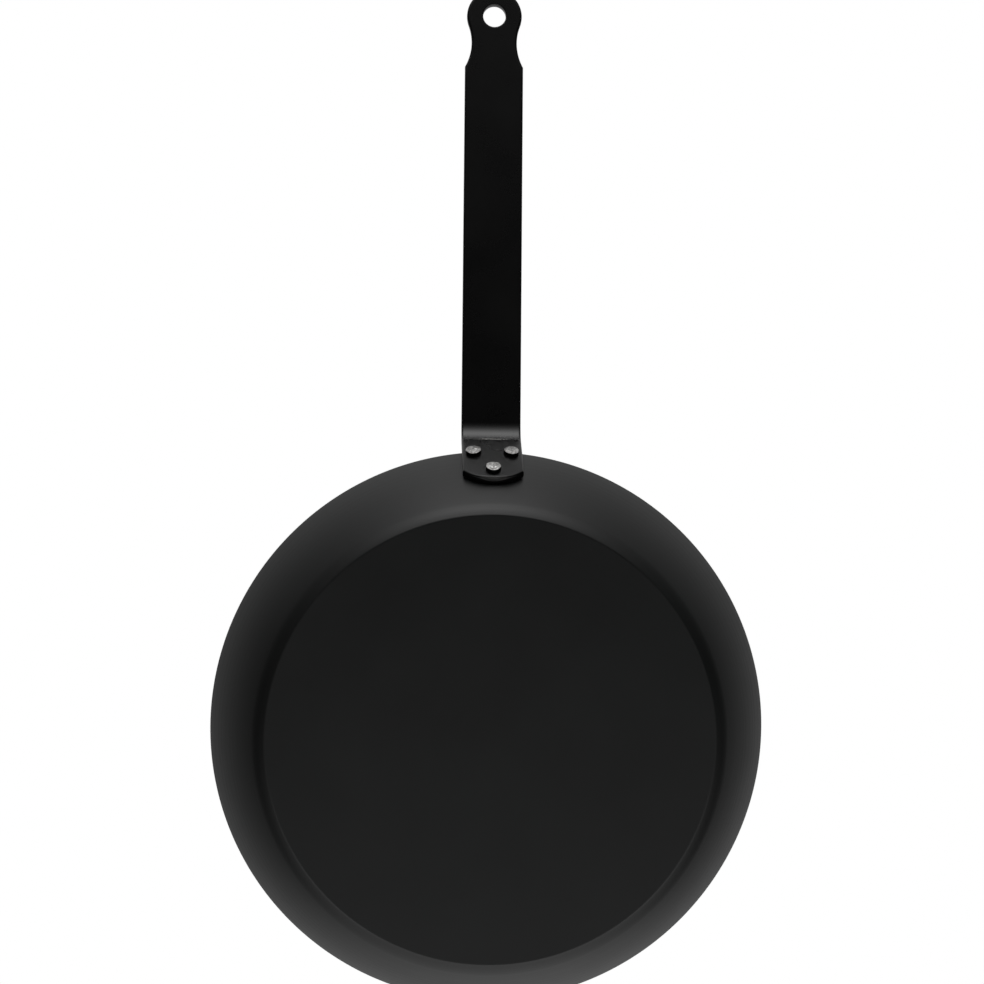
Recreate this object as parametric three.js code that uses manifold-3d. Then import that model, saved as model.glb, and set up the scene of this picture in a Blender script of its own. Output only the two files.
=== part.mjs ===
// A carbon steel frying pan: a pan body pressed from one sheet, a bent strap handle and three solid rivets.
// Millimetres, +Z up. The origin is the centre of the base's underside, and the handle points along +Y.
import * as THREE from 'three';
import { mergeVertices } from 'three/addons/utils/BufferGeometryUtils.js';
import Module from 'manifold-3d';

const degrees = (angle) => THREE.MathUtils.degToRad(angle);

// Pan body: flat base with a crisp edge, round bend and flared wall that steepens a little towards the rim
const rimRadius = 140;
const panHeight = 42;
const sheet = 2.5;
const rimSlope = degrees(63); // of the wall at the rim, from the base's plane
const wallSlope = degrees(50); // where the wall leaves the bend
const baseEdgeRadius = 2; // on the outside, round the flat base
const baseEdgeTurn = degrees(30); // turned by that edge, before the wider bend takes over
const bendRadius = 22.6; // on the outside
const insideBendRadius = 8;
const rimRounding = 0.8;

// Handle: a flat strap, with its foot on the wall and its grip rising outwards
const strapWidth = 30.2;
const strapThickness = 4;
const strapRounding = 1.2;
const footLength = 30.6; // down the wall from the rim
const footBulge = 7.2; // of the foot's round end
const rootLength = 5.5; // past the rim, before the strap bends outwards
const dishRunOut = 1.2; // over which the foot's roundness ends in a small ledge, where the root bend starts
const rootBendRadius = 12; // on the hollow side, under the handle
const gripRise = degrees(7.2);
const gripLength = 213; // from the root bend to the eye's centre

// Hanging eye at the end of the grip
const eyeRadius = 14.25;
const eyeHoleRadius = 5.9;
const neckRadius = 27;
const shoulderDistance = 27.2; // from the eye's centre back to the full width

// Rivets: two side by side near the rim and one below them on the centre line
const rivetSpread = 18.4;
const rivetRise = 14.85;
const lowerRivetMargin = 7.15; // from the foot's end
const shankRadius = 2.5;
const insideHeadRadius = 5.5;
const insideHeadHeight = 2.2;
const insideHeadEdge = 0.5;
const formedHeadRadius = 3.85;
const formedHeadHeight = 2.2;
const formedHeadRounding = 0.7;

// Clearances
const seatGap = 0.3;
const shankClearance = 0.3;

// Facets
const panSteps = 120;
const edgeSteps = 3;
const bendSteps = 5;
const wallSteps = 5;
const rimSteps = 3;
const footRows = 5;
const ledgeRows = 3;
const rootRows = 8;
const neckRows = 7;
const eyeRows = 10;
const tipShare = 0.5; // of an eye row, left straight at the tip
const strapColumns = 8;
const strapRoundingSteps = 2;
const eyeHoleSteps = 40;
const rivetSteps = 28;
const headSteps = 5;

const wasm = await Module();
wasm.setup();

// Joins the shared corners of a geometry and drops the triangles that this leaves without area.
function weld(geometry) {
  const bare = geometry.clone();
  bare.deleteAttribute('normal');
  bare.deleteAttribute('uv');
  const merged = mergeVertices(bare);
  const corners = merged.getIndex().array;
  const kept = [];
  for (let i = 0; i < corners.length; i += 3) {
    const [a, b, c] = corners.slice(i, i + 3);
    if (a !== b && b !== c && c !== a) kept.push(a, b, c);
  }
  merged.setIndex(kept);
  return merged;
}

function toSolid(geometry) {
  const welded = weld(geometry);
  const vertProperties = new Float32Array(welded.getAttribute('position').array);
  const triVerts = new Uint32Array(welded.getIndex().array);
  return new wasm.Manifold(new wasm.Mesh({ numProp: 3, vertProperties, triVerts }));
}

function toGeometry(solid) {
  const { vertProperties, triVerts } = solid.getMesh();
  const geometry = new THREE.BufferGeometry();
  geometry.setAttribute('position', new THREE.BufferAttribute(new Float32Array(vertProperties), 3));
  geometry.setIndex(new THREE.BufferAttribute(new Uint32Array(triVerts), 1));
  geometry.computeVertexNormals();
  return geometry;
}

// Takes every cutter away from a geometry.
function cut(geometry, cutters) {
  const left = cutters.reduce((solid, cutter) => solid.subtract(toSolid(cutter)), toSolid(geometry));
  return toGeometry(left);
}

function arc(centre, radius, from, to, steps) {
  return Array.from({ length: steps + 1 }, (_, i) => {
    const angle = THREE.MathUtils.lerp(from, to, i / steps);
    return new THREE.Vector2(centre.x + radius * Math.cos(angle), centre.y + radius * Math.sin(angle));
  });
}

// The wall in section, with x as the distance from the axis and y as the height.
const quarter = Math.PI / 2;
const upRim = new THREE.Vector2(Math.cos(rimSlope), Math.sin(rimSlope));
const offRim = new THREE.Vector2(Math.sin(rimSlope), -Math.cos(rimSlope));
const rimEdge = Math.min(rimRounding, sheet / 2);
const rimFlat = sheet / 2 - rimEdge;
const rimMiddle = new THREE.Vector2(
  rimRadius - rimEdge - rimFlat * offRim.x,
  panHeight - rimEdge + rimFlat * offRim.y,
);
const rimOuter = rimMiddle.clone().addScaledVector(offRim, rimFlat);
const rimInner = rimMiddle.clone().addScaledVector(offRim, -rimFlat);
// Where the outer face of the wall would meet the rim's edge if that were square.
const rimCorner = rimOuter.clone().addScaledVector(offRim, rimEdge).addScaledVector(upRim, rimEdge);
const edgeRise = baseEdgeRadius * (1 - Math.cos(baseEdgeTurn));
const edgeReach = baseEdgeRadius * Math.sin(baseEdgeTurn);
const bendRise = bendRadius * (Math.cos(baseEdgeTurn) - Math.cos(wallSlope));
const bendReach = bendRadius * (Math.sin(wallSlope) - Math.sin(baseEdgeTurn));
// The wall's curve takes up the rest of the height.
const wallRadius = (rimCorner.y - bendRise - edgeRise) / (Math.cos(wallSlope) - Math.cos(rimSlope));
const wallCentre = rimCorner.clone().addScaledVector(offRim, -wallRadius);
const wallReach = wallRadius * (Math.sin(rimSlope) - Math.sin(wallSlope));
const flatRadius = rimCorner.x - wallReach - bendReach - edgeReach;

// Slope of the wall a distance down it from the rim, and a point there that stands off its outer face. Above the
// rim they carry straight on.
const slopeAt = (down) => rimSlope - Math.max(down, 0) / wallRadius;
function wallPoint(down, off) {
  const slope = slopeAt(down);
  const out = new THREE.Vector2(Math.sin(slope), -Math.cos(slope));
  return wallCentre.clone().addScaledVector(out, wallRadius + off).addScaledVector(upRim, Math.max(-down, 0));
}

// The body is one revolved section of the sheet: out along the underside, up the wall, over the rim and back.
function panBodyGeometry() {
  const rimNormal = rimSlope - quarter;
  const wallNormal = wallSlope - quarter;
  const edgeNormal = baseEdgeTurn - quarter;
  const edgeCentre = new THREE.Vector2(flatRadius, baseEdgeRadius);
  const bendOffset = new THREE.Vector2(Math.cos(edgeNormal), Math.sin(edgeNormal));
  const bendCentre = edgeCentre.clone().addScaledVector(bendOffset, baseEdgeRadius - bendRadius);
  // The inside bend touches the cooking face and the inside of the wall.
  const insideWall = wallRadius - sheet;
  const insideHeight = sheet + insideBendRadius;
  const insideReach = Math.sqrt((insideWall - insideBendRadius) ** 2 - (wallCentre.y - insideHeight) ** 2);
  const insideCentre = new THREE.Vector2(wallCentre.x + insideReach, insideHeight);
  const insideNormal = -Math.atan2(wallCentre.y - insideHeight, insideReach);
  const section = [
    new THREE.Vector2(0, 0),
    ...arc(edgeCentre, baseEdgeRadius, -quarter, edgeNormal, edgeSteps),
    ...arc(bendCentre, bendRadius, edgeNormal, wallNormal, bendSteps).slice(1),
    ...arc(wallCentre, wallRadius, wallNormal, rimNormal, wallSteps).slice(1, -1),
    ...arc(rimOuter, rimEdge, rimNormal, rimSlope, rimSteps),
    ...arc(rimInner, rimEdge, rimSlope, rimSlope + quarter, rimSteps),
    ...arc(wallCentre, insideWall, rimNormal, insideNormal, wallSteps).slice(1),
    ...arc(insideCentre, insideBendRadius, insideNormal, -quarter, bendSteps).slice(1),
    new THREE.Vector2(0, sheet),
  ];
  return new THREE.LatheGeometry(section, panSteps).rotateX(quarter);
}

// Rivets stand square to the wall. Local Y is the rivet's axis, out of the pan, from the wall's outer face.
const lowerRivetDrop = footLength - lowerRivetMargin;
const upperRivetDrop = lowerRivetDrop - rivetRise;
const rivetPlaces = {
  rivet_left: { across: -rivetSpread / 2, drop: upperRivetDrop },
  rivet_right: { across: rivetSpread / 2, drop: upperRivetDrop },
  rivet_lower: { across: 0, drop: lowerRivetDrop },
};

function rivetMatrix({ across, drop }) {
  const seat = wallPoint(drop, 0);
  const round = new THREE.Matrix4().makeRotationZ(-Math.asin(across / seat.x));
  const out = new THREE.Matrix4().makeTranslation(0, seat.x, seat.y);
  const square = new THREE.Matrix4().makeRotationX(slopeAt(drop) - quarter);
  return round.multiply(out).multiply(square);
}

const insideSeat = -(sheet + seatGap);
const strapInside = seatGap;
const strapOutside = strapInside + strapThickness;
const outsideSeat = strapOutside + seatGap;

// A low round head inside the pan, the shank, and the head formed on the strap.
function rivetGeometry() {
  const domeHeight = insideHeadHeight - insideHeadEdge;
  const domeRadius = (insideHeadRadius ** 2 + domeHeight ** 2) / (2 * domeHeight);
  const domeTop = insideSeat - insideHeadHeight;
  const domeCentre = new THREE.Vector2(0, domeTop + domeRadius);
  const domeReach = Math.asin(insideHeadRadius / domeRadius);
  const rounding = Math.min(formedHeadRounding, formedHeadRadius, formedHeadHeight);
  const formedTop = outsideSeat + formedHeadHeight;
  const formedCorner = new THREE.Vector2(formedHeadRadius - rounding, formedTop - rounding);
  const section = [
    ...arc(domeCentre, domeRadius, -quarter, domeReach - quarter, headSteps),
    new THREE.Vector2(insideHeadRadius, insideSeat),
    new THREE.Vector2(shankRadius, insideSeat),
    new THREE.Vector2(shankRadius, outsideSeat),
    new THREE.Vector2(formedHeadRadius, outsideSeat),
    ...arc(formedCorner, rounding, 0, quarter, rimSteps),
    new THREE.Vector2(0, formedTop),
  ];
  return weld(new THREE.LatheGeometry(section, rivetSteps));
}

// One cutter for each rivet, for the holes in the wall and in the strap.
function rivetHoles() {
  const holeRadius = shankRadius + shankClearance;
  const reach = sheet + strapOutside;
  return Object.values(rivetPlaces).map((place) =>
    new THREE.CylinderGeometry(holeRadius, holeRadius, 2 * reach, rivetSteps).applyMatrix4(rivetMatrix(place)),
  );
}

// The strap's pan-side face on the centre line, followed from the foot's end: up the wall and past the rim, round
// the root bend, and straight out along the grip.
const footRun = footLength + rootLength;
const outerBend = rootBendRadius + strapThickness;
const bendRun = outerBend * (rimSlope - gripRise);
const eyeRun = footRun + bendRun + gripLength;
const rootPoint = wallPoint(-rootLength, strapInside);

function strapLine(run) {
  if (run <= footRun) {
    const down = footLength - run;
    return { spot: wallPoint(down, strapInside), slope: slopeAt(down) };
  }
  const turned = Math.min((run - footRun) / outerBend, rimSlope - gripRise);
  const slope = rimSlope - turned;
  const spot = rootPoint.clone();
  spot.x += outerBend * (Math.sin(rimSlope) - Math.sin(slope));
  spot.y += outerBend * (Math.cos(slope) - Math.cos(rimSlope));
  const straight = Math.max(run - footRun - bendRun, 0);
  spot.x += straight * Math.cos(slope);
  spot.y += straight * Math.sin(slope);
  return { spot, slope };
}

// The foot lies round the pan as the wall does. In the root bend the strap goes flat across, level with the sides
// of that round foot, so the foot's middle ends in a ledge of this depth.
const dishDepth = rootPoint.x - Math.sqrt(rootPoint.x ** 2 - (strapWidth / 2) ** 2);
const ledgeEnd = footRun + dishRunOut;

// A point of the strap from its place across, along and through it.
function strapPoint(across, run, depth) {
  const { spot, slope } = strapLine(run);
  const y = spot.x + depth * Math.sin(slope);
  const z = spot.y - depth * Math.cos(slope);
  const round = Math.sqrt(y * y - across * across);
  const flat = y - dishDepth;
  const flatness = THREE.MathUtils.smoothstep(run, footRun, ledgeEnd);
  return new THREE.Vector3(across, THREE.MathUtils.lerp(round, flat, flatness), z);
}

// Right-hand outline of the strap past the foot, with the direction that points into the strap at each place.
// The neck is an arc that touches the eye's circle and ends at the shoulder's corner.
function strapOutline() {
  const half = strapWidth / 2;
  const inward = new THREE.Vector2(-1, 0);
  const rows = [];
  for (let i = 0; i < ledgeRows; i += 1) {
    rows.push({ half, run: footRun + (dishRunOut * i) / ledgeRows, inward });
  }
  for (let i = 0; i <= rootRows; i += 1) {
    rows.push({ half, run: THREE.MathUtils.lerp(ledgeEnd, footRun + bendRun, i / rootRows), inward });
  }
  rows.push({ half, run: eyeRun - shoulderDistance, inward });

  const shoulder = new THREE.Vector2(half, -shoulderDistance);
  const span = shoulder.length();
  const reach = eyeRadius + neckRadius;
  const along = (reach ** 2 - neckRadius ** 2 + span ** 2) / (2 * span);
  const aside = Math.sqrt(reach ** 2 - along ** 2);
  const axis = shoulder.clone().normalize();
  const neckCentre = new THREE.Vector2(axis.x * along - axis.y * aside, axis.y * along + axis.x * aside);
  const touch = neckCentre.clone().setLength(eyeRadius);
  const fromNeck = shoulder.clone().sub(neckCentre).angle();
  const toNeck = touch.clone().sub(neckCentre).angle();
  for (const point of arc(neckCentre, neckRadius, fromNeck, toNeck, neckRows).slice(1)) {
    rows.push({ half: point.x, run: eyeRun + point.y, inward: point.clone().sub(neckCentre).normalize() });
  }
  const fromEye = touch.angle() > Math.PI ? touch.angle() - 2 * Math.PI : touch.angle();
  const eyeStep = (quarter - fromEye) / (eyeRows + tipShare);
  for (let i = 1; i <= eyeRows; i += 1) {
    const angle = fromEye + eyeStep * i;
    const way = new THREE.Vector2(Math.cos(angle), Math.sin(angle));
    rows.push({ half: eyeRadius * way.x, run: eyeRun + eyeRadius * way.y, inward: way.negate() });
  }
  return rows;
}

// Levels through the strap: depth from the pan-side face, and how far the round edge is drawn in there.
function strapLevels() {
  const edge = Math.min(strapRounding, strapThickness / 2);
  const round = Array.from({ length: strapRoundingSteps + 1 }, (_, i) => {
    const angle = (quarter * i) / strapRoundingSteps;
    return { depth: edge * (1 - Math.cos(angle)), drawn: edge * (1 - Math.sin(angle)) };
  });
  const mirrored = round.map(({ depth, drawn }) => ({ depth: strapThickness - depth, drawn })).reverse();
  return [...round, ...mirrored];
}

// The strap is a plate of rows along it, columns across it and levels through it, closed on its six sides.
function strapGeometry() {
  const half = strapWidth / 2;
  const levels = strapLevels();
  const outline = strapOutline();
  const endRadius = (half ** 2 + footBulge ** 2) / (2 * footBulge);
  const endRun = (across) => endRadius - Math.sqrt(endRadius ** 2 - across ** 2);

  function corner(row, column, level) {
    const { depth, drawn } = levels[level];
    const share = (2 * column) / strapColumns - 1;
    if (row < footRows) {
      const across = share * (half - drawn);
      const start = endRun(across) + drawn;
      return strapPoint(across, THREE.MathUtils.lerp(start, footRun, row / footRows), depth);
    }
    const { half: wide, run, inward } = outline[row - footRows];
    return strapPoint(share * (wide + drawn * inward.x), run + drawn * inward.y, depth);
  }

  const lastRow = footRows + outline.length - 1;
  const lastLevel = levels.length - 1;
  const positions = [];
  function side(countA, countB, at, turned) {
    for (let a = 0; a < countA; a += 1) {
      for (let b = 0; b < countB; b += 1) {
        const quad = [at(a, b), at(a + 1, b), at(a + 1, b + 1), at(a, b + 1)];
        if (turned) quad.reverse();
        for (const i of [0, 1, 2, 0, 2, 3]) positions.push(...quad[i].toArray());
      }
    }
  }
  side(strapColumns, lastRow, (c, r) => corner(r, c, 0), false);
  side(strapColumns, lastRow, (c, r) => corner(r, c, lastLevel), true);
  side(lastRow, lastLevel, (r, l) => corner(r, 0, l), false);
  side(lastRow, lastLevel, (r, l) => corner(r, strapColumns, l), true);
  side(strapColumns, lastLevel, (c, l) => corner(0, c, l), true);
  side(strapColumns, lastLevel, (c, l) => corner(lastRow, c, l), false);

  const geometry = new THREE.BufferGeometry();
  geometry.setAttribute('position', new THREE.Float32BufferAttribute(positions, 3));
  return geometry;
}

function eyeHole() {
  const middle = strapPoint(0, eyeRun, strapThickness / 2);
  return new THREE.CylinderGeometry(eyeHoleRadius, eyeHoleRadius, 2 * strapThickness, eyeHoleSteps)
    .rotateX(quarter + gripRise)
    .translate(middle.x, middle.y, middle.z);
}

const panSteel = new THREE.MeshStandardMaterial({ color: 0x2e2f2f, roughness: 0.55, metalness: 0.5 });
const strapFinish = new THREE.MeshStandardMaterial({ color: 0x161616, roughness: 0.5, metalness: 0.3 });
const rivetSteel = new THREE.MeshStandardMaterial({ color: 0xa6a6a4, roughness: 0.45, metalness: 1 });

function named(name, geometry, material) {
  const mesh = new THREE.Mesh(geometry, material);
  mesh.name = name;
  return mesh;
}

const pan = new THREE.Group();
pan.add(named('pan_body', cut(panBodyGeometry(), rivetHoles()), panSteel));
pan.add(named('handle', cut(strapGeometry(), [...rivetHoles(), eyeHole()]), strapFinish));
for (const [name, place] of Object.entries(rivetPlaces)) {
  const rivet = named(name, rivetGeometry(), rivetSteel);
  rivet.applyMatrix4(rivetMatrix(place));
  pan.add(rivet);
}

export default pan;
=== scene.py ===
import bmesh
import bpy
import numpy as np
from mathutils import Matrix, Vector


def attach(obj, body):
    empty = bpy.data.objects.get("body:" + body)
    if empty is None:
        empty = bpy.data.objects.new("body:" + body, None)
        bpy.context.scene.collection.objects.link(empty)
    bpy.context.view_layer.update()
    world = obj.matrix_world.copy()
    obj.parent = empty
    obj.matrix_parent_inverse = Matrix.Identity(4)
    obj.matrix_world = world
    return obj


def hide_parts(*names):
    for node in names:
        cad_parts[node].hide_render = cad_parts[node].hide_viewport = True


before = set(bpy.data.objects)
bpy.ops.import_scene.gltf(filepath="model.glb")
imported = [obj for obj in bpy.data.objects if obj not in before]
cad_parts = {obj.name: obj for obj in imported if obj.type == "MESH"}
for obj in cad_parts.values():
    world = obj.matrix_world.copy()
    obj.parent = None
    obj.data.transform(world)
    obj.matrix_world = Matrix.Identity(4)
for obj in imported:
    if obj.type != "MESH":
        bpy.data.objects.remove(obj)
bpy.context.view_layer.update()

# Pan body: one disc of carbon steel sheet, pressed into a flat base with a crisp edge, a round bend and a
# flared wall that steepens a little towards the rim. The steel is blackened to an even satin. Its rim is
# trimmed and broken by hand, so the edge there is a little brighter.
MM = 0.001
rim_radius, pan_height, sheet, rim_rounding = 140.0, 42.0, 2.5, 0.8
rim_slope, wall_slope, base_edge_turn = np.radians([63.0, 50.0, 30.0])
base_edge_radius, bend_radius, inside_bend_radius = 2.0, 22.6, 8.0
base_edge_steps, bend_steps, wall_steps, rim_steps, pan_columns = 8, 14, 18, 7, 288
quarter = np.pi / 2

up_rim = np.array([np.cos(rim_slope), np.sin(rim_slope)])
off_rim = np.array([np.sin(rim_slope), -np.cos(rim_slope)])
rim_flat = sheet / 2 - rim_rounding
rim_middle = np.array([rim_radius, pan_height]) - rim_rounding + rim_flat * off_rim * [-1, 1]
rim_corner = rim_middle + (rim_flat + rim_rounding) * off_rim + rim_rounding * up_rim
edge_rise = base_edge_radius * (1 - np.cos(base_edge_turn))
bend_rise = bend_radius * (np.cos(base_edge_turn) - np.cos(wall_slope))
wall_radius = (rim_corner[1] - bend_rise - edge_rise) / (np.cos(wall_slope) - np.cos(rim_slope))
wall_centre = rim_corner - wall_radius * off_rim
flat_radius = (
    rim_corner[0]
    - wall_radius * (np.sin(rim_slope) - np.sin(wall_slope))
    - bend_radius * (np.sin(wall_slope) - np.sin(base_edge_turn))
    - base_edge_radius * np.sin(base_edge_turn)
)


def arc(centre, radius, start, stop, steps):
    """Points round an arc: the centre plus the radius along each angle's direction, from start to stop."""
    angle = np.linspace(start, stop, steps + 1)
    return np.asarray(centre) + radius * np.stack([np.cos(angle), np.sin(angle)], axis=-1)


def pan_section():
    """Section of the sheet as distance from the axis and height: out along the underside, round the base
    edge and the bend, up the wall's wide arc, over the rounded rim, down the inside and back to the middle.
    The flat faces have rings at shares of their radius, closest together at their edge."""
    edge_centre = np.array([flat_radius, base_edge_radius])
    edge_way = np.array([np.sin(base_edge_turn), -np.cos(base_edge_turn)])
    bend_centre = edge_centre + (base_edge_radius - bend_radius) * edge_way
    inside_wall = wall_radius - sheet
    inside_height = sheet + inside_bend_radius
    inside_drop = wall_centre[1] - inside_height
    inside_reach = np.sqrt((inside_wall - inside_bend_radius) ** 2 - inside_drop**2)
    inside_centre = np.array([wall_centre[0] + inside_reach, inside_height])
    inside_normal = -np.arctan2(inside_drop, inside_reach)
    rings = np.array([0.0, 0.08, 0.25, 0.5, 0.75, 0.93, 0.985, 0.997])
    underside = np.stack([flat_radius * rings, 0 * rings], axis=-1)
    cooking_face = np.stack([inside_centre[0] * rings[::-1], sheet + 0 * rings], axis=-1)
    return np.concatenate([
        underside,
        arc(edge_centre, base_edge_radius, -quarter, base_edge_turn - quarter, base_edge_steps),
        arc(bend_centre, bend_radius, base_edge_turn - quarter, wall_slope - quarter, bend_steps)[1:],
        arc(wall_centre, wall_radius, wall_slope - quarter, rim_slope - quarter, wall_steps)[1:-1],
        arc(rim_middle + rim_flat * off_rim, rim_rounding, rim_slope - quarter, rim_slope, rim_steps),
        arc(rim_middle - rim_flat * off_rim, rim_rounding, rim_slope, rim_slope + quarter, rim_steps),
        arc(wall_centre, inside_wall, rim_slope - quarter, inside_normal, wall_steps)[1:],
        arc(inside_centre, inside_bend_radius, inside_normal, -quarter, bend_steps)[1:],
        cooking_face,
    ])


def turned(section, columns):
    """Surface of revolution: each section point goes round the axis at its own height, with x = r sin a and
    y = r cos a."""
    angle = np.arange(columns) * 2 * np.pi / columns
    radius, height = section[:, :1], section[:, 1:]
    return np.stack([radius * np.sin(angle), radius * np.cos(angle), height + 0 * angle], axis=-1)


def grid_faces(rows, columns, wraps):
    """Corner numbers of the four-sided faces between neighbouring rows and columns, counted row by row."""
    row, column = np.indices((rows - 1, columns if wraps else columns - 1))
    beside = (column + 1) % columns
    corners = [row * columns + column, row * columns + beside, (row + 1) * columns + beside]
    return np.stack(corners + [(row + 1) * columns + column], axis=-1).reshape(-1, 4)


def closed_piece(name, patches, material, stock=None):
    """One closed mesh from grids of points in mm. Points that agree to a few decimals become one, and a
    face whose neighbouring corners have become one is kept as a triangle, or dropped if it has shrunk to a
    line. A piece made from plain stock also keeps each point's place on that stock, in mm, as a point
    attribute."""
    decimals = 4
    sizes = [grid.shape[0] * grid.shape[1] for grid, _ in patches]
    starts = np.cumsum([0] + sizes)
    faces = np.concatenate([
        grid_faces(*grid.shape[:2], wraps) + start for (grid, wraps), start in zip(patches, starts)
    ])
    points = np.concatenate([grid.reshape(-1, 3) for grid, _ in patches])
    _, first, same = np.unique(np.round(points, decimals), axis=0, return_index=True, return_inverse=True)
    faces = same.reshape(-1)[faces]
    pinched = faces == np.roll(faces, -1, axis=1)
    whole = faces[pinched.sum(axis=1) == 0]
    thirds = pinched.sum(axis=1) == 1
    triangles = faces[thirds][~pinched[thirds]].reshape(-1, 3)
    mesh = bpy.data.meshes.new(name)
    mesh.from_pydata((points[first] * MM).tolist(), [], whole.tolist() + triangles.tolist())
    shape = bmesh.new()
    shape.from_mesh(mesh)
    bmesh.ops.recalc_face_normals(shape, faces=shape.faces)
    shape.to_mesh(mesh)
    shape.free()
    mesh.polygons.foreach_set("use_smooth", np.ones(len(mesh.polygons), bool))
    if stock is not None:
        stock = np.concatenate([grid.reshape(-1, 3) for grid in stock])[first]
        stock_place = mesh.attributes.new("stock_place", "FLOAT_VECTOR", "POINT")
        stock_place.data.foreach_set("vector", stock.ravel())
    mesh.materials.append(material)
    piece = bpy.data.objects.new(name, mesh)
    bpy.context.scene.collection.objects.link(piece)
    return piece


def linear(code):
    """Linear colour of an sRGB hex code: the low values divided, the rest on the 2.4 power curve."""
    value = np.array([int(code[i:i + 2], 16) for i in (1, 3, 5)]) / 255
    low, high = value / 12.92, ((value + 0.055) / 1.055) ** 2.4
    return (*np.where(value <= 0.04045, low, high).tolist(), 1.0)


def add(tree, kind, inputs=None, **settings):
    """Adds one node, sets its properties, and fills each named or numbered input with a value or a link."""
    made = tree.nodes.new("ShaderNode" + kind)
    for name, value in settings.items():
        setattr(made, name, value)
    for socket, value in (inputs or {}).items():
        if isinstance(value, bpy.types.NodeSocket):
            tree.links.new(value, made.inputs[socket])
        else:
            made.inputs[socket].default_value = value
    return made


def shader_tree(owner):
    """Node tree of a material or world with nothing in it but its output."""
    owner.use_nodes = True
    tree = owner.node_tree
    tree.nodes.clear()
    kind = "World" if owner.id_type == "WORLD" else "Material"
    return tree, tree.nodes.new("ShaderNodeOutput" + kind)


# Blackened carbon steel, pressed: a dark satin with a faint cloudiness from the heat, very fine turned lines
# from dressing the tool, a close grain, and bare steel just showing along the trimmed rim.
blackened_steel = bpy.data.materials.new("blackened_carbon_steel_pressed")
tree, output = shader_tree(blackened_steel)
place = add(tree, "TexCoord").outputs["Object"]
height = add(tree, "SeparateXYZ", {0: place}).outputs["Z"]
flattened = add(tree, "VectorMath", {0: place, 1: (1, 1, 0)}, operation="MULTIPLY").outputs[0]
from_axis = add(tree, "VectorMath", {0: flattened}, operation="LENGTH").outputs["Value"]
# Sizes in mm of the clouds, of the wider drifts of tint, of the gap between turned lines, and of the grain,
# which is drawn coarser than the real one to show.
cloud_size, tint_size, line_gap, grain_size = 45.45, 111.1, 0.8, 0.909
cloud = add(tree, "TexNoise", {"Vector": place, "Scale": 1 / (cloud_size * MM), "Detail": 3.0}).outputs[0]
tint = add(tree, "TexNoise", {"Vector": place, "Scale": 1 / (tint_size * MM), "Detail": 2.0}).outputs[0]
line_place = add(tree, "Math", {0: from_axis, 1: 1 / (line_gap * MM)}, operation="MULTIPLY").outputs[0]
lines = add(
    tree, "TexNoise", {"W": line_place, "Scale": 1.0, "Detail": 2.0}, noise_dimensions="1D"
).outputs[0]
grain = add(tree, "TexNoise", {"Vector": place, "Scale": 1 / (grain_size * MM), "Detail": 2.0}).outputs[0]
warm = add(tree, "Mix", {0: tint, 6: linear("#161515"), 7: linear("#141616")}, data_type="RGBA").outputs[2]
cool = add(tree, "Mix", {0: tint, 6: linear("#191919"), 7: linear("#171a19")}, data_type="RGBA").outputs[2]
coat = add(tree, "Mix", {0: cloud, 6: warm, 7: cool}, data_type="RGBA").outputs[2]
rim_edge = add(tree, "MapRange", {
    0: height, 1: (pan_height - rim_rounding) * MM, 2: pan_height * MM, 3: 0.0, 4: 0.55
}, interpolation_type="SMOOTHSTEP").outputs[0]
wear_and_painted_highlight = add(tree, "Math", {0: rim_edge, 1: grain}, operation="MULTIPLY").outputs[0]
colour = add(tree, "Mix", {0: wear_and_painted_highlight, 6: coat, 7: linear("#8a8883")}, data_type="RGBA").outputs[2]
satin = add(tree, "MapRange", {0: cloud, 1: 0.3, 2: 0.7, 3: 0.38, 4: 0.42}).outputs[0]
streaked = add(tree, "MapRange", {0: lines, 1: 0.3, 2: 0.7, 3: -0.025, 4: 0.025}).outputs[0]
roughness = add(tree, "Math", {0: satin, 1: streaked}, operation="ADD").outputs[0]
fine = add(tree, "Math", {0: lines, 1: 0.6}, operation="MULTIPLY").outputs[0]
relief = add(tree, "Math", {0: fine, 1: grain}, operation="ADD").outputs[0]
bump = add(tree, "Bump", {"Height": relief, "Strength": 0.08, "Distance": 0.03 * MM}).outputs[0]
steel = add(tree, "BsdfPrincipled", {
    "Base Color": colour, "Metallic": wear_and_painted_highlight, "Roughness": roughness, "Normal": bump,
})
tree.links.new(steel.outputs[0], output.inputs[0])

pan_surface = turned(pan_section(), pan_columns)
pan_body = closed_piece("pan_body_pressed", [(pan_surface, True)], blackened_steel)
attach(pan_body, "root")
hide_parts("pan_body")

# Handle: one flat steel strap, blanked with a hanging eye, its edges rounded. Its foot is dished across to
# lie on the wall and ends in a small ledge above the rim, where the flat strap bends outwards. It is coated
# black and riveted to the wall.
strap_width, strap_thickness, strap_rounding = 30.2, 4.0, 1.1
foot_length, foot_bulge, root_length, dish_run_out = 30.6, 7.2, 5.5, 1.2
bevel_run, bevel_depth, bevel_reach, bevel_lip = 1.1, 2.0, 6.4, 0.08
root_bend_radius, grip_rise, grip_length = 12.0, np.radians(7.2), 213.0
eye_radius, eye_hole_radius, eye_hole_rounding = 14.25, 5.9, 0.5
neck_radius, shoulder_distance, seat_gap = 27.0, 27.2, 0.3
rounding_steps, hole_steps, neck_steps, waist_steps, eye_steps = 6, 4, 14, 12, 30
ledge_rows, root_bend_rows, grip_rows = 10, 30, 24
half = strap_width / 2
foot_run = foot_length + root_length
outer_bend = root_bend_radius + strap_thickness
bend_run = outer_bend * (rim_slope - grip_rise)
eye_run = foot_run + bend_run + grip_length


def wall_slope_at(down):
    """Slope of the wall a distance down from the rim: the rim's slope less that distance over the wall's
    radius."""
    return rim_slope - np.maximum(down, 0) / wall_radius


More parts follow.
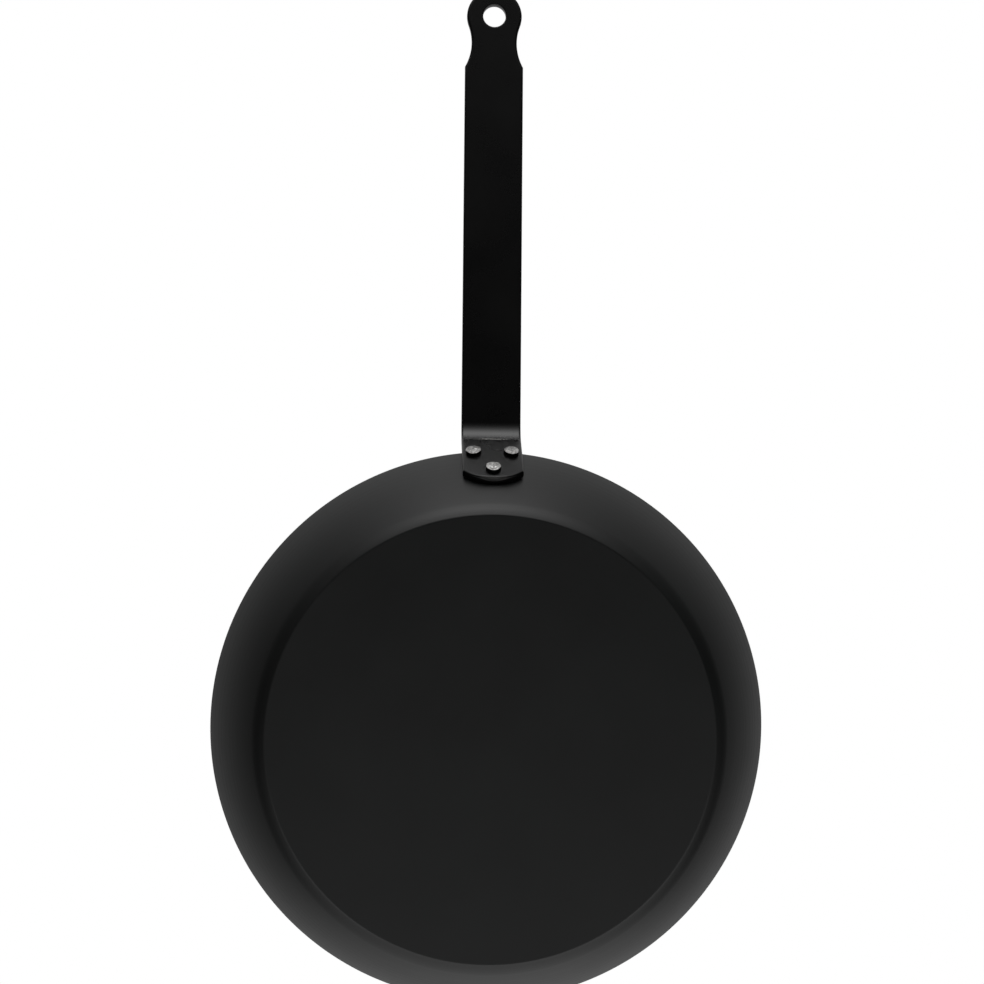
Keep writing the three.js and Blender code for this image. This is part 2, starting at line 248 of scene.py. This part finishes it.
def wall_point(down, off):
    """Distance from the axis and height of a point down the wall and off its outer face. The wall goes
    round its wide arc, and on straight above the rim."""
    slope = wall_slope_at(down)
    above = np.maximum(-down, 0)
    radius = wall_centre[0] + (wall_radius + off) * np.sin(slope) + above * up_rim[0]
    return radius, wall_centre[1] - (wall_radius + off) * np.cos(slope) + above * up_rim[1]


root_radius, root_height = wall_point(np.array(-root_length), seat_gap)
dish_depth = root_radius - np.sqrt(root_radius**2 - half**2)


def strap_place(across, run, depth):
    """Points of the strap from their place across, along and through it. The pan side of its centre line
    goes up the wall, round the root bend and straight out; depth is laid off square to that line. On the
    foot each point is swung round the pan's axis, y = sqrt(y * y - x * x), and past the ledge a smooth step
    makes the strap flat across."""
    across, run, depth = np.broadcast_arrays(across, run, depth)
    on_wall = run <= foot_run
    part = np.clip((run - foot_run) / dish_run_out, 0, 1)
    flatness = part * part * (3 - 2 * part)
    slope = np.where(on_wall, wall_slope_at(foot_length - run), rim_slope - (run - foot_run) / outer_bend)
    slope = np.maximum(slope, grip_rise)
    wall_y, wall_z = wall_point(np.where(on_wall, foot_length - run, -root_length), seat_gap)
    bend_y = root_radius + outer_bend * (np.sin(rim_slope) - np.sin(slope))
    bend_z = root_height + outer_bend * (np.cos(slope) - np.cos(rim_slope))
    straight = np.maximum(run - foot_run - bend_run, 0)
    y = np.where(on_wall, wall_y, bend_y + straight * np.cos(slope)) + depth * np.sin(slope)
    z = np.where(on_wall, wall_z, bend_z + straight * np.sin(slope)) - depth * np.cos(slope)
    swung = np.sqrt(np.maximum(y * y - across * across, 0))
    return np.stack([across, swung + flatness * (y - dish_depth - swung), z], axis=-1)


def flat_place(across, run, depth):
    """The same three places laid out as one array of points of the flat, unbent strap."""
    return np.stack(np.broadcast_arrays(across, run, depth), axis=-1)


def rounded_levels(rounding, steps):
    """Depths through the strap, and how far a quarter-round edge draws the outline in at each of them."""
    angle = np.linspace(0, quarter, steps + 1)
    depth, drawn = rounding * (1 - np.cos(angle)), rounding * (1 - np.sin(angle))
    return np.concatenate([depth, strap_thickness - depth[::-1]]), np.concatenate([drawn, drawn[::-1]])


def neck_arc_centre():
    """Centre of the neck's arc, which passes through the shoulder and touches the eye's circle, from the
    sides of a triangle; seen from the eye's centre, with x across and y along the strap."""
    shoulder = np.array([half, -shoulder_distance])
    span, reach = np.hypot(*shoulder), eye_radius + neck_radius
    along = (reach**2 - neck_radius**2 + span**2) / (2 * span)
    aside = np.sqrt(reach**2 - along**2)
    axis = shoulder / span
    return along * axis + aside * np.array([-axis[1], axis[0]])


# Levels through the strap, and shares across it that lie closest together at its edges.
depths, drawn = rounded_levels(strap_rounding, rounding_steps)
shares = np.concatenate([[-1, -0.985], np.linspace(-0.95, 0.95, 21), [0.985, 1]])
neck_centre = neck_arc_centre()
to_shoulder = np.arctan2(-shoulder_distance - neck_centre[1], half - neck_centre[0]) % (2 * np.pi)
neck_arc = arc(neck_centre, neck_radius, to_shoulder, np.pi, neck_steps)
neck_inward = (neck_arc - neck_centre) / neck_radius
bend_runs = np.linspace(foot_run + dish_run_out, foot_run + bend_run, root_bend_rows)
ledge_runs = np.linspace(foot_run, bend_runs[0], ledge_rows)[1:-1]
grip_runs = np.linspace(foot_run + bend_run, eye_run - shoulder_distance, grip_rows)[1:]
straight_runs = np.concatenate([ledge_runs, bend_runs, grip_runs])
row_run = np.concatenate([straight_runs, eye_run + neck_arc[1:, 1]])
row_half = np.concatenate([half + 0 * straight_runs, neck_arc[1:, 0]])
row_inward = np.concatenate([np.tile([-1.0, 0.0], (len(straight_runs), 1)), neck_inward[1:]])

# The foot's rows run from its round end to the ledge, and the other rows go on from there to the neck's
# waist. The middle of the foot's end is ground to a bevel on the visible half: each level there is drawn in
# so far along the strap, and the lowest one stands a small lip under the next.
end_radius = (half**2 + foot_bulge**2) / (2 * foot_bulge)
foot_share = np.concatenate([[0, 0.02], np.linspace(0.07, 0.93, 16), np.linspace(0.94, 1, 12)])
foot_share = foot_share[:, None, None]
foot_across = shares[None, :, None] * (half - drawn)
visible = depths > strap_thickness / 2
lowest = np.arange(len(depths)) == np.argmax(visible)
ground = np.clip(1 - (foot_across / bevel_reach) ** 2, 0, 1) * visible
bevel_in = np.zeros(len(depths))
bevel_in[visible] = [0, 0, 0.05, 0.35, 0.7, 1.0, 1.2]
bevel_left = np.maximum(1 - bevel_in / bevel_run, 0)
bevel_level = strap_thickness - bevel_depth * bevel_left - bevel_lip * lowest
foot_drawn = drawn + ground * (bevel_in - drawn)
foot_start = end_radius - np.sqrt(end_radius**2 - foot_across**2) + foot_drawn
foot_depth = depths + ground * (bevel_level - depths) * (foot_share == 0)
foot_block = flat_place(foot_across, foot_start + (foot_run - foot_start) * foot_share, foot_depth)
side = row_half[:, None, None] + drawn * row_inward[:, 0, None, None]
along = row_run[:, None, None] + drawn * row_inward[:, 1, None, None]
strip = np.concatenate([foot_block, flat_place(shares[None, :, None] * side, along, depths)])

# The eye is a ring round its hole: its outline goes from one side of the waist round the tip to the other
# side, and the waist's own row of points closes it.
touch_angle = np.arctan2(neck_centre[1], neck_centre[0])
touch_on_neck = np.arctan2(-neck_centre[1], -neck_centre[0])
upper_neck = arc(neck_centre, neck_radius, np.pi, touch_on_neck, waist_steps)
eye_arc = arc((0, 0), eye_radius, touch_angle, quarter, eye_steps)[1:]
right_outline = np.concatenate([upper_neck, eye_arc])
right_inward = np.concatenate([(upper_neck - neck_centre) / neck_radius, -eye_arc / eye_radius])
outline = np.concatenate([right_outline, right_outline[-2::-1] * [-1, 1]])
inward = np.concatenate([right_inward, right_inward[-2::-1] * [-1, 1]])
edge = outline[:, None, :] + drawn[:, None] * inward[:, None, :]
waist_row = np.stack([shares[1:-1] * edge[0, 0, 0], edge[0, 0, 1] + 0 * shares[1:-1]], axis=-1)
face_outer = np.concatenate([edge[:, 0], waist_row])
way = face_outer / np.linalg.norm(face_outer, axis=1, keepdims=True)
face_inner = (eye_hole_radius + eye_hole_rounding) * way
spokes = np.concatenate([[0, 0.06], np.linspace(0.2, 0.8, 5), [0.94, 1]])[:, None, None]
face = face_inner + spokes * (face_outer - face_inner)
hole_depths, hole_drawn = rounded_levels(eye_hole_rounding, hole_steps)
hole = (eye_hole_radius + hole_drawn)[:, None, None] * way

# Black baked coat on steel: nearly black, a little shinier than the pan, with the faint orange peel of a
# sprayed coat and a film that is slightly paler in patches. Bare steel is painted on it as highlights along
# the ledge and the foot's end, and the foot has painted shade that makes it mirror less.
black_coat = bpy.data.materials.new("black_baked_coat_sprayed")
tree, output = shader_tree(black_coat)
place = add(tree, "TexCoord").outputs["Object"]
# Sizes in mm of the orange peel, of the dust in the film, which is drawn coarse to show, and of the patches.
peel_size, dust_size, patch_size = 2.381, 0.7143, 28.57
peel = add(tree, "TexNoise", {"Vector": place, "Scale": 1 / (peel_size * MM), "Detail": 1.0}).outputs[0]
dust = add(tree, "TexNoise", {"Vector": place, "Scale": 1 / (dust_size * MM), "Detail": 2.0}).outputs[0]
patch = add(tree, "TexNoise", {"Vector": place, "Scale": 1 / (patch_size * MM), "Detail": 3.0}).outputs[0]
# The painted highlights and shade follow each point's place in mm on the flat strap. Bare steel is painted
# along the ledge's proud middle as a highlight, 1 mm wide there and gone at 11 mm aside.
stock_place = add(tree, "Attribute", attribute_name="stock_place").outputs["Vector"]
strap_across, strap_run, strap_depth = add(tree, "SeparateXYZ", {0: stock_place}).outputs
aside_squared = add(tree, "Math", {0: strap_across, 1: strap_across}, operation="MULTIPLY").outputs[0]
ledge_top = foot_run + 0.3
width = add(tree, "MapRange", {0: aside_squared, 1: 0.0, 2: 132.0, 3: 1.0, 4: -0.1}).outputs[0]
below = add(tree, "Math", {0: ledge_top, 1: strap_run}, operation="SUBTRACT").outputs[0]
within = add(tree, "Math", {0: width, 1: below}, operation="SUBTRACT").outputs[0]
ragged = add(tree, "MapRange", {0: dust, 1: 0.3, 2: 0.7, 3: -0.03, 4: 0.03}).outputs[0]
within = add(tree, "Math", {0: within, 1: ragged}, operation="ADD").outputs[0]
inside = add(tree, "MapRange", {0: within, 1: 0.0, 2: 0.15, 3: 0.0, 4: 1.0}).outputs[0]
off_grip = add(tree, "MapRange", {0: below, 1: -0.2, 2: 0.0, 3: 0.0, 4: 1.0}).outputs[0]
seen_side = add(tree, "Math", {0: strap_depth, 1: 3.0}, operation="GREATER_THAN").outputs[0]
ledge_painted_highlight = add(tree, "Math", {0: inside, 1: off_grip}, operation="MULTIPLY").outputs[0]
ledge_painted_highlight = add(tree, "Math", {0: ledge_painted_highlight, 1: seen_side}, operation="MULTIPLY").outputs[0]
# Bare steel is painted too on the bevel of the foot's end as a highlight along its top edge: most at the
# visible face, fading towards the wall, and gone at 7 mm aside.
up_bevel = add(tree, "MapRange", {0: strap_depth, 1: 2.4, 2: 3.8, 3: 0.0, 4: 0.17}).outputs[0]
below_face = add(tree, "Math", {0: strap_depth, 1: 3.96}, operation="LESS_THAN").outputs[0]
at_end = add(tree, "MapRange", {0: strap_run, 1: 3.0, 2: 5.0, 3: 1.0, 4: 0.0}).outputs[0]
in_middle = add(tree, "MapRange", {0: aside_squared, 1: 4.0, 2: 50.0, 3: 1.0, 4: 0.0}).outputs[0]
bevel_painted_highlight = add(tree, "Math", {0: up_bevel, 1: below_face}, operation="MULTIPLY").outputs[0]
bevel_painted_highlight = add(tree, "Math", {0: bevel_painted_highlight, 1: at_end}, operation="MULTIPLY").outputs[0]
bevel_painted_highlight = add(tree, "Math", {0: bevel_painted_highlight, 1: in_middle}, operation="MULTIPLY").outputs[0]
# Both painted highlights of bare steel on the coat, taken together.
wear_and_painted_highlight = add(tree, "Math", {0: ledge_painted_highlight, 1: bevel_painted_highlight}, operation="MAXIMUM").outputs[0]
# Painted shade on the foot: a near-black metallic share in the film makes it mirror less, most just under
# the ledge.
foot_shade_from, foot_shade_to = foot_run - 6.0, foot_run - 1.0
painted_foot_shade = add(tree, "MapRange", {0: strap_run, 1: foot_shade_from, 2: foot_shade_to, 3: 0.38, 4: 0.85}).outputs[0]
on_foot = add(tree, "MapRange", {0: strap_run, 1: foot_run, 2: ledge_top, 3: 1.0, 4: 0.0}).outputs[0]
painted_foot_shade = add(tree, "Math", {0: painted_foot_shade, 1: on_foot}, operation="MULTIPLY").outputs[0]
# The metallic share carries the painted highlights and the foot's painted shade.
metallic = add(tree, "Math", {0: wear_and_painted_highlight, 1: painted_foot_shade}, operation="MAXIMUM").outputs[0]
thick, thin, steel_tone = linear("#040404"), linear("#070707"), linear("#dcdad6")
film_tone = add(tree, "Mix", {0: patch, 6: thick, 7: thin}, data_type="RGBA").outputs[2]
# The painted highlights take the film's colour to bare steel.
colour = add(tree, "Mix", {0: wear_and_painted_highlight, 6: film_tone, 7: steel_tone}, data_type="RGBA").outputs[2]
satin = add(tree, "MapRange", {0: patch, 1: 0.3, 2: 0.7, 3: 0.26, 4: 0.30}).outputs[0]
speckled = add(tree, "MapRange", {0: dust, 1: 0.3, 2: 0.7, 3: -0.002, 4: 0.002}).outputs[0]
roughness = add(tree, "Math", {0: satin, 1: speckled}, operation="ADD").outputs[0]
bump = add(tree, "Bump", {"Height": peel, "Strength": 0.06, "Distance": 0.02 * MM}).outputs[0]
film = add(tree, "BsdfPrincipled", {
    "Base Color": colour, "Metallic": metallic, "Roughness": roughness, "Normal": bump,
    "Specular IOR Level": 0.66,
})
tree.links.new(film.outputs[0], output.inputs[0])

flat_patches = [
    (strip[:, :, 0], False),
    (strip[:, :, -1], False),
    (strip[:, 0, :], False),
    (strip[:, -1, :], False),
    (strip[0], False),
    (flat_place(edge[..., 0], eye_run + edge[..., 1], depths), False),
    (flat_place(face[..., 0], eye_run + face[..., 1], 0.0), True),
    (flat_place(face[..., 0], eye_run + face[..., 1], strap_thickness), True),
    (flat_place(hole[..., 0], eye_run + hole[..., 1], hole_depths[:, None]), True),
]
bent_patches = [(strap_place(*np.moveaxis(grid, -1, 0)), wraps) for grid, wraps in flat_patches]
handle = closed_piece("handle_strap", bent_patches, black_coat, [grid for grid, _ in flat_patches])
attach(handle, "root")
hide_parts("handle")

# Rivets: solid steel, put in from inside the pan through the wall and the strap's foot, with a low round
# factory head inside and the outer end hammered flat into a second head. They are left bare.
rivet_spread, rivet_rise, lower_rivet_margin = 18.4, 14.85, 7.15
shank_radius, inside_head_radius, inside_head_height, inside_head_edge = 2.5, 5.5, 2.2, 0.5
formed_head_radius, formed_head_height, formed_head_rounding = 3.85, 2.2, 0.55
undercut_in, undercut_up, head_gap = 0.25, 0.3, 0.05
dome_steps, corner_steps, top_rings, rivet_columns = 10, 6, 20, 96
gentle_flats, steep_flats, dents = 6, 9, 8
lower_drop = foot_length - lower_rivet_margin
upper_drop = lower_drop - rivet_rise
formed_seat = seat_gap + strap_thickness + head_gap


def rivet_section():
    """Distance from the rivet's axis and place along it from the wall's outer face: the inside head's low
    dome, its edge, the shank, the formed head's undercut, side and rounded corner, and its top in rings."""
    inside_seat = -(sheet + head_gap)
    dome = inside_head_height - inside_head_edge
    dome_radius = (inside_head_radius**2 + dome**2) / (2 * dome)
    dome_centre = (0.0, inside_seat - inside_head_height + dome_radius)
    dome_reach = np.arcsin(inside_head_radius / dome_radius)
    top = formed_seat + formed_head_height
    corner = (formed_head_radius - formed_head_rounding, top - formed_head_rounding)
    rings = np.linspace(corner[0], 0, top_rings)[1:]
    return np.concatenate([
        arc(dome_centre, dome_radius, -quarter, dome_reach - quarter, dome_steps),
        [[inside_head_radius, inside_seat], [shank_radius, inside_seat]],
        [[shank_radius, formed_seat], [formed_head_radius - undercut_in, formed_seat]],
        [[formed_head_radius, formed_seat + undercut_up]],
        arc(corner, formed_head_rounding, 0, quarter, corner_steps),
        np.stack([rings, top + 0 * rings], axis=-1),
    ])


def hammered_rivet(across, drop, growth, seed):
    """A turned rivet whose formed head is beaten. Each blow leaves a flat: the head keeps the lowest of
    planes that fall away from its middle, some gently and some steeply at its edge. Small dents, each a bell
    curve of the distance from its centre, are taken out of the top. The outline has grown less or more from
    rivet to rivet, and it wavers. The rivet is then stood on the wall."""
    draw = np.random.default_rng(seed)
    local = turned(rivet_section(), rivet_columns)[..., [0, 2, 1]]
    stock = local.copy()
    on_head = np.clip((local[..., 1] - formed_seat) / formed_head_height, 0, 1)
    around = np.arctan2(local[..., 0], local[..., 2])
    phase = draw.uniform(0, 2 * np.pi, 3)
    waver = 0.025 * np.sin(2 * around + phase[0]) + 0.02 * np.sin(3 * around + phase[1])
    grown = 1 + (growth + waver + 0.01 * np.sin(7 * around + phase[2])) * on_head
    local[..., 0] *= grown
    local[..., 2] *= grown
    turn = np.concatenate([np.arange(gentle_flats) * 1.05, np.arange(steep_flats) * 0.7])
    turn = turn + draw.uniform(-0.3, 0.3, gentle_flats + steep_flats)
    tilt = np.concatenate([draw.uniform(0.03, 0.12, gentle_flats), draw.uniform(0.5, 1.0, steep_flats)])
    start = np.concatenate([draw.uniform(0.2, 1.4, gentle_flats), draw.uniform(3.0, 3.6, steep_flats)])
    outward = local[..., None, 0] * np.sin(turn) + local[..., None, 2] * np.cos(turn)
    planes = formed_seat + formed_head_height - tilt * (outward - start)
    local[..., 1] = np.minimum(local[..., 1], np.where(on_head > 0.1, planes.min(axis=-1), np.inf))
    centre = draw.uniform(-2.2, 2.2, (dents, 2))
    spread, depth = draw.uniform(0.35, 0.8, dents), draw.uniform(0.06, 0.2, dents)
    apart = np.square(local[..., None, [0, 2]] - centre).sum(axis=-1)
    local[..., 1] -= (on_head**4) * (depth * np.exp(-apart / spread**2)).sum(axis=-1)
    radius, height = wall_point(np.array(drop), 0.0)
    lean = wall_slope_at(np.array(drop)) - quarter
    swing = -np.arcsin(across / radius)
    lean_cos, lean_sin, swing_cos, swing_sin = np.cos(lean), np.sin(lean), np.cos(swing), np.sin(swing)
    square = np.array([[1, 0, 0], [0, lean_cos, -lean_sin], [0, lean_sin, lean_cos]])
    round_pan = np.array([[swing_cos, -swing_sin, 0], [swing_sin, swing_cos, 0], [0, 0, 1]])
    return (local @ square.T + [0, radius, height]) @ round_pan.T, stock


# Bare steel, hammered: a soft grey shine with duller blotches left by the blows, and a fine scratched grain
# from the snap tool.
bare_steel = bpy.data.materials.new("bare_steel_hammered")
tree, output = shader_tree(bare_steel)
place = add(tree, "TexCoord").outputs["Object"]
# Sizes in mm of the blotches and of the grain.
blotch_size, scratch_size = 1.0, 0.25
blotch = add(tree, "TexNoise", {"Vector": place, "Scale": 1 / (blotch_size * MM), "Detail": 3.0}).outputs[0]
bright = add(tree, "MapRange", {0: blotch, 1: 0.36, 2: 0.62, 3: 0.0, 4: 1.0}).outputs[0]
grain = add(tree, "TexNoise", {"Vector": place, "Scale": 1 / (scratch_size * MM), "Detail": 2.0}).outputs[0]
dull_steel, bright_steel, forge_scale = linear("#828180"), linear("#d2d1cf"), linear("#1b1b1a")
struck = add(tree, "Mix", {0: bright, 6: dull_steel, 7: bright_steel}, data_type="RGBA").outputs[2]
# The forge scale stays on the formed head's side, from its top's corner down, and is beaten off the top.
scale_under_top, scale_fade = 0.25, 0.2
scale_top = formed_seat + formed_head_height - scale_under_top
stock_place = add(tree, "Attribute", attribute_name="stock_place").outputs["Vector"]
along = add(tree, "SeparateXYZ", {0: stock_place}).outputs["Y"]
bared = add(tree, "MapRange", {0: along, 1: scale_top - scale_fade, 2: scale_top, 3: 0.0, 4: 1.0}).outputs[0]
inner = add(tree, "Math", {0: along, 1: 0.0}, operation="LESS_THAN").outputs[0]
bared = add(tree, "Math", {0: bared, 1: inner}, operation="MAXIMUM").outputs[0]
colour = add(tree, "Mix", {0: bared, 6: forge_scale, 7: struck}, data_type="RGBA").outputs[2]
roughness = add(tree, "MapRange", {0: bright, 1: 0.0, 2: 1.0, 3: 0.42, 4: 0.30}).outputs[0]
bump = add(tree, "Bump", {"Height": grain, "Strength": 0.25, "Distance": 0.03 * MM}).outputs[0]
metal = add(tree, "BsdfPrincipled", {
    "Base Color": colour, "Metallic": 1.0, "Roughness": roughness, "Normal": bump,
})
tree.links.new(metal.outputs[0], output.inputs[0])

for node, across, drop, growth, seed in (
    ("rivet_left", -rivet_spread / 2, upper_drop, -0.04, 11),
    ("rivet_right", rivet_spread / 2, upper_drop, 0.0, 23),
    ("rivet_lower", 0.0, lower_drop, -0.06, 37),
):
    beaten, stock = hammered_rivet(across, drop, growth, seed)
    rivet = closed_piece(node + "_hammered", [(beaten, True)], bare_steel, [stock])
    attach(rivet, "root")
    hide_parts(node)

# Floor: a plain white table that the pan stands on. It is seen only from above, and light passes it, so
# that the pan's underside can be looked at from below.
table_half, table_level = 4.0, -0.0003
table_corners = [(-1, -1), (1, -1), (1, 1), (-1, 1)]
floor_mesh = bpy.data.meshes.new("table")
floor_mesh.from_pydata(
    [(x * table_half, y * table_half, table_level) for x, y in table_corners], [], [(0, 1, 2, 3)]
)
white_table = bpy.data.materials.new("white_table")
tree, output = shader_tree(white_table)
seen = add(tree, "LightPath").outputs["Is Camera Ray"]
under = add(tree, "NewGeometry").outputs["Backfacing"]
from_above = add(tree, "Math", {0: seen, 1: under}, operation="SUBTRACT", use_clamp=True).outputs[0]
clear = add(tree, "BsdfTransparent").outputs[0]
near = add(tree, "BsdfDiffuse", {"Color": linear("#f2f2f2")}).outputs[0]
far = add(tree, "Emission", {"Color": (1, 1, 1, 1), "Strength": 1.0}).outputs[0]
place = add(tree, "TexCoord").outputs["Object"]
reach = add(tree, "VectorMath", {0: place}, operation="LENGTH").outputs["Value"]
# The table fades into the white room between 0.4 m and 1.1 m from the pan's middle.
fade = add(
    tree, "MapRange", {0: reach, 1: 0.4, 2: 1.1, 3: 0.0, 4: 1.0}, interpolation_type="SMOOTHSTEP"
).outputs[0]
white = add(tree, "MixShader", {0: fade, 1: near, 2: far}).outputs[0]
mixed = add(tree, "MixShader", {0: from_above, 1: clear, 2: white}).outputs[0]
tree.links.new(mixed, output.inputs[0])
floor_mesh.materials.append(white_table)
floor = bpy.data.objects.new("table", floor_mesh)
bpy.context.scene.collection.objects.link(floor)

# Surroundings: a room that the camera sees as plain white. To the steel it is a dark studio with a pale
# ceiling and soft panels of light.
world = bpy.context.scene.world or bpy.data.worlds.new("studio")
bpy.context.scene.world = world
tree, output = shader_tree(world)
direction = add(tree, "TexCoord").outputs["Generated"]
upward = add(tree, "SeparateXYZ", {0: direction}).outputs["Z"]
ceiling_from, ceiling_full, ceiling_light = 0.145, 0.772, 0.444
lit = add(tree, "MapRange", {
    0: upward, 1: ceiling_from, 2: ceiling_full, 3: 0.0, 4: ceiling_light
}, interpolation_type="SMOOTHSTEP").outputs[0]
# The panels round the pan: where each stands as a direction, how far it spreads, and its strength.
for toward, spread, power in (
    ((0.017, 0.963, -0.270), (0.403, 0.440, 0.394), 2.85),
    ((-0.395, 0.662, 0.749), (2.500, 0.300, 0.731), 0.20),
    ((0.160, 0.860, 0.400), (0.450, 0.300, 0.300), 0.25),
    ((-0.252, -0.998, -0.063), (1.274, 0.218, 0.795), 0.75),
    ((-0.344, -0.690, -0.724), (1.621, 0.330, 0.395), 1.34),
):
    apart = add(tree, "VectorMath", {0: direction, 1: toward}, operation="SUBTRACT").outputs[0]
    scaled = add(tree, "VectorMath", {0: apart, 1: spread}, operation="DIVIDE").outputs[0]
    square = add(tree, "VectorMath", {0: scaled, 1: scaled}, operation="DOT_PRODUCT").outputs["Value"]
    fall = add(tree, "Math", {0: square, 1: -1.0}, operation="MULTIPLY").outputs[0]
    glow = add(tree, "Math", {0: fall}, operation="EXPONENT").outputs[0]
    lit = add(tree, "Math", {0: glow, 1: power, 2: lit}, operation="MULTIPLY_ADD").outputs[0]
seen = add(tree, "LightPath").outputs["Is Camera Ray"]
strength = add(tree, "Mix", {0: seen, 2: lit, 3: 1.0}, data_type="FLOAT").outputs[0]
backdrop = add(tree, "Background", {"Color": (1, 1, 1, 1), "Strength": strength}).outputs[0]
tree.links.new(backdrop, output.inputs[0])

# Softbox: one square lamp over the table, turned to the pan. It isn't mirrored in the steel.
softbox_place, softbox_target = Vector((0.3, -0.4, 1.9)), Vector((0.0, 0.1, 0.0))
lamp = bpy.data.lights.new("overhead", "AREA")
lamp.shape = "SQUARE"
lamp.size = 1.8
lamp.energy = 40
softbox = bpy.data.objects.new("overhead", lamp)
softbox.location = softbox_place
softbox.rotation_euler = (softbox_target - softbox_place).to_track_quat("-Z", "Y").to_euler()
softbox.visible_camera = False
softbox.visible_glossy = False
bpy.context.scene.collection.objects.link(softbox)

# Camera: below the pan, looking up at its underside, a little off its axis.
camera_place = Vector((0.04301, 0.15409, -0.9))
camera_target = Vector((0.00138, 0.12125, 0.0))
image_up = Vector((0.01256, 0.99923, 0.03704))
back = (camera_place - camera_target).normalized()
right = image_up.cross(back).normalized()
axes = Matrix((right, back.cross(right), back)).transposed().to_4x4()
camera = bpy.data.objects.new("camera", bpy.data.cameras.new("camera"))
camera.data.sensor_width = 36.0
camera.data.lens = 68.23
camera.matrix_world = Matrix.Translation(camera_place) @ axes
bpy.context.scene.collection.objects.link(camera)
bpy.context.scene.camera = camera
bpy.context.scene.view_settings.view_transform = "Standard"
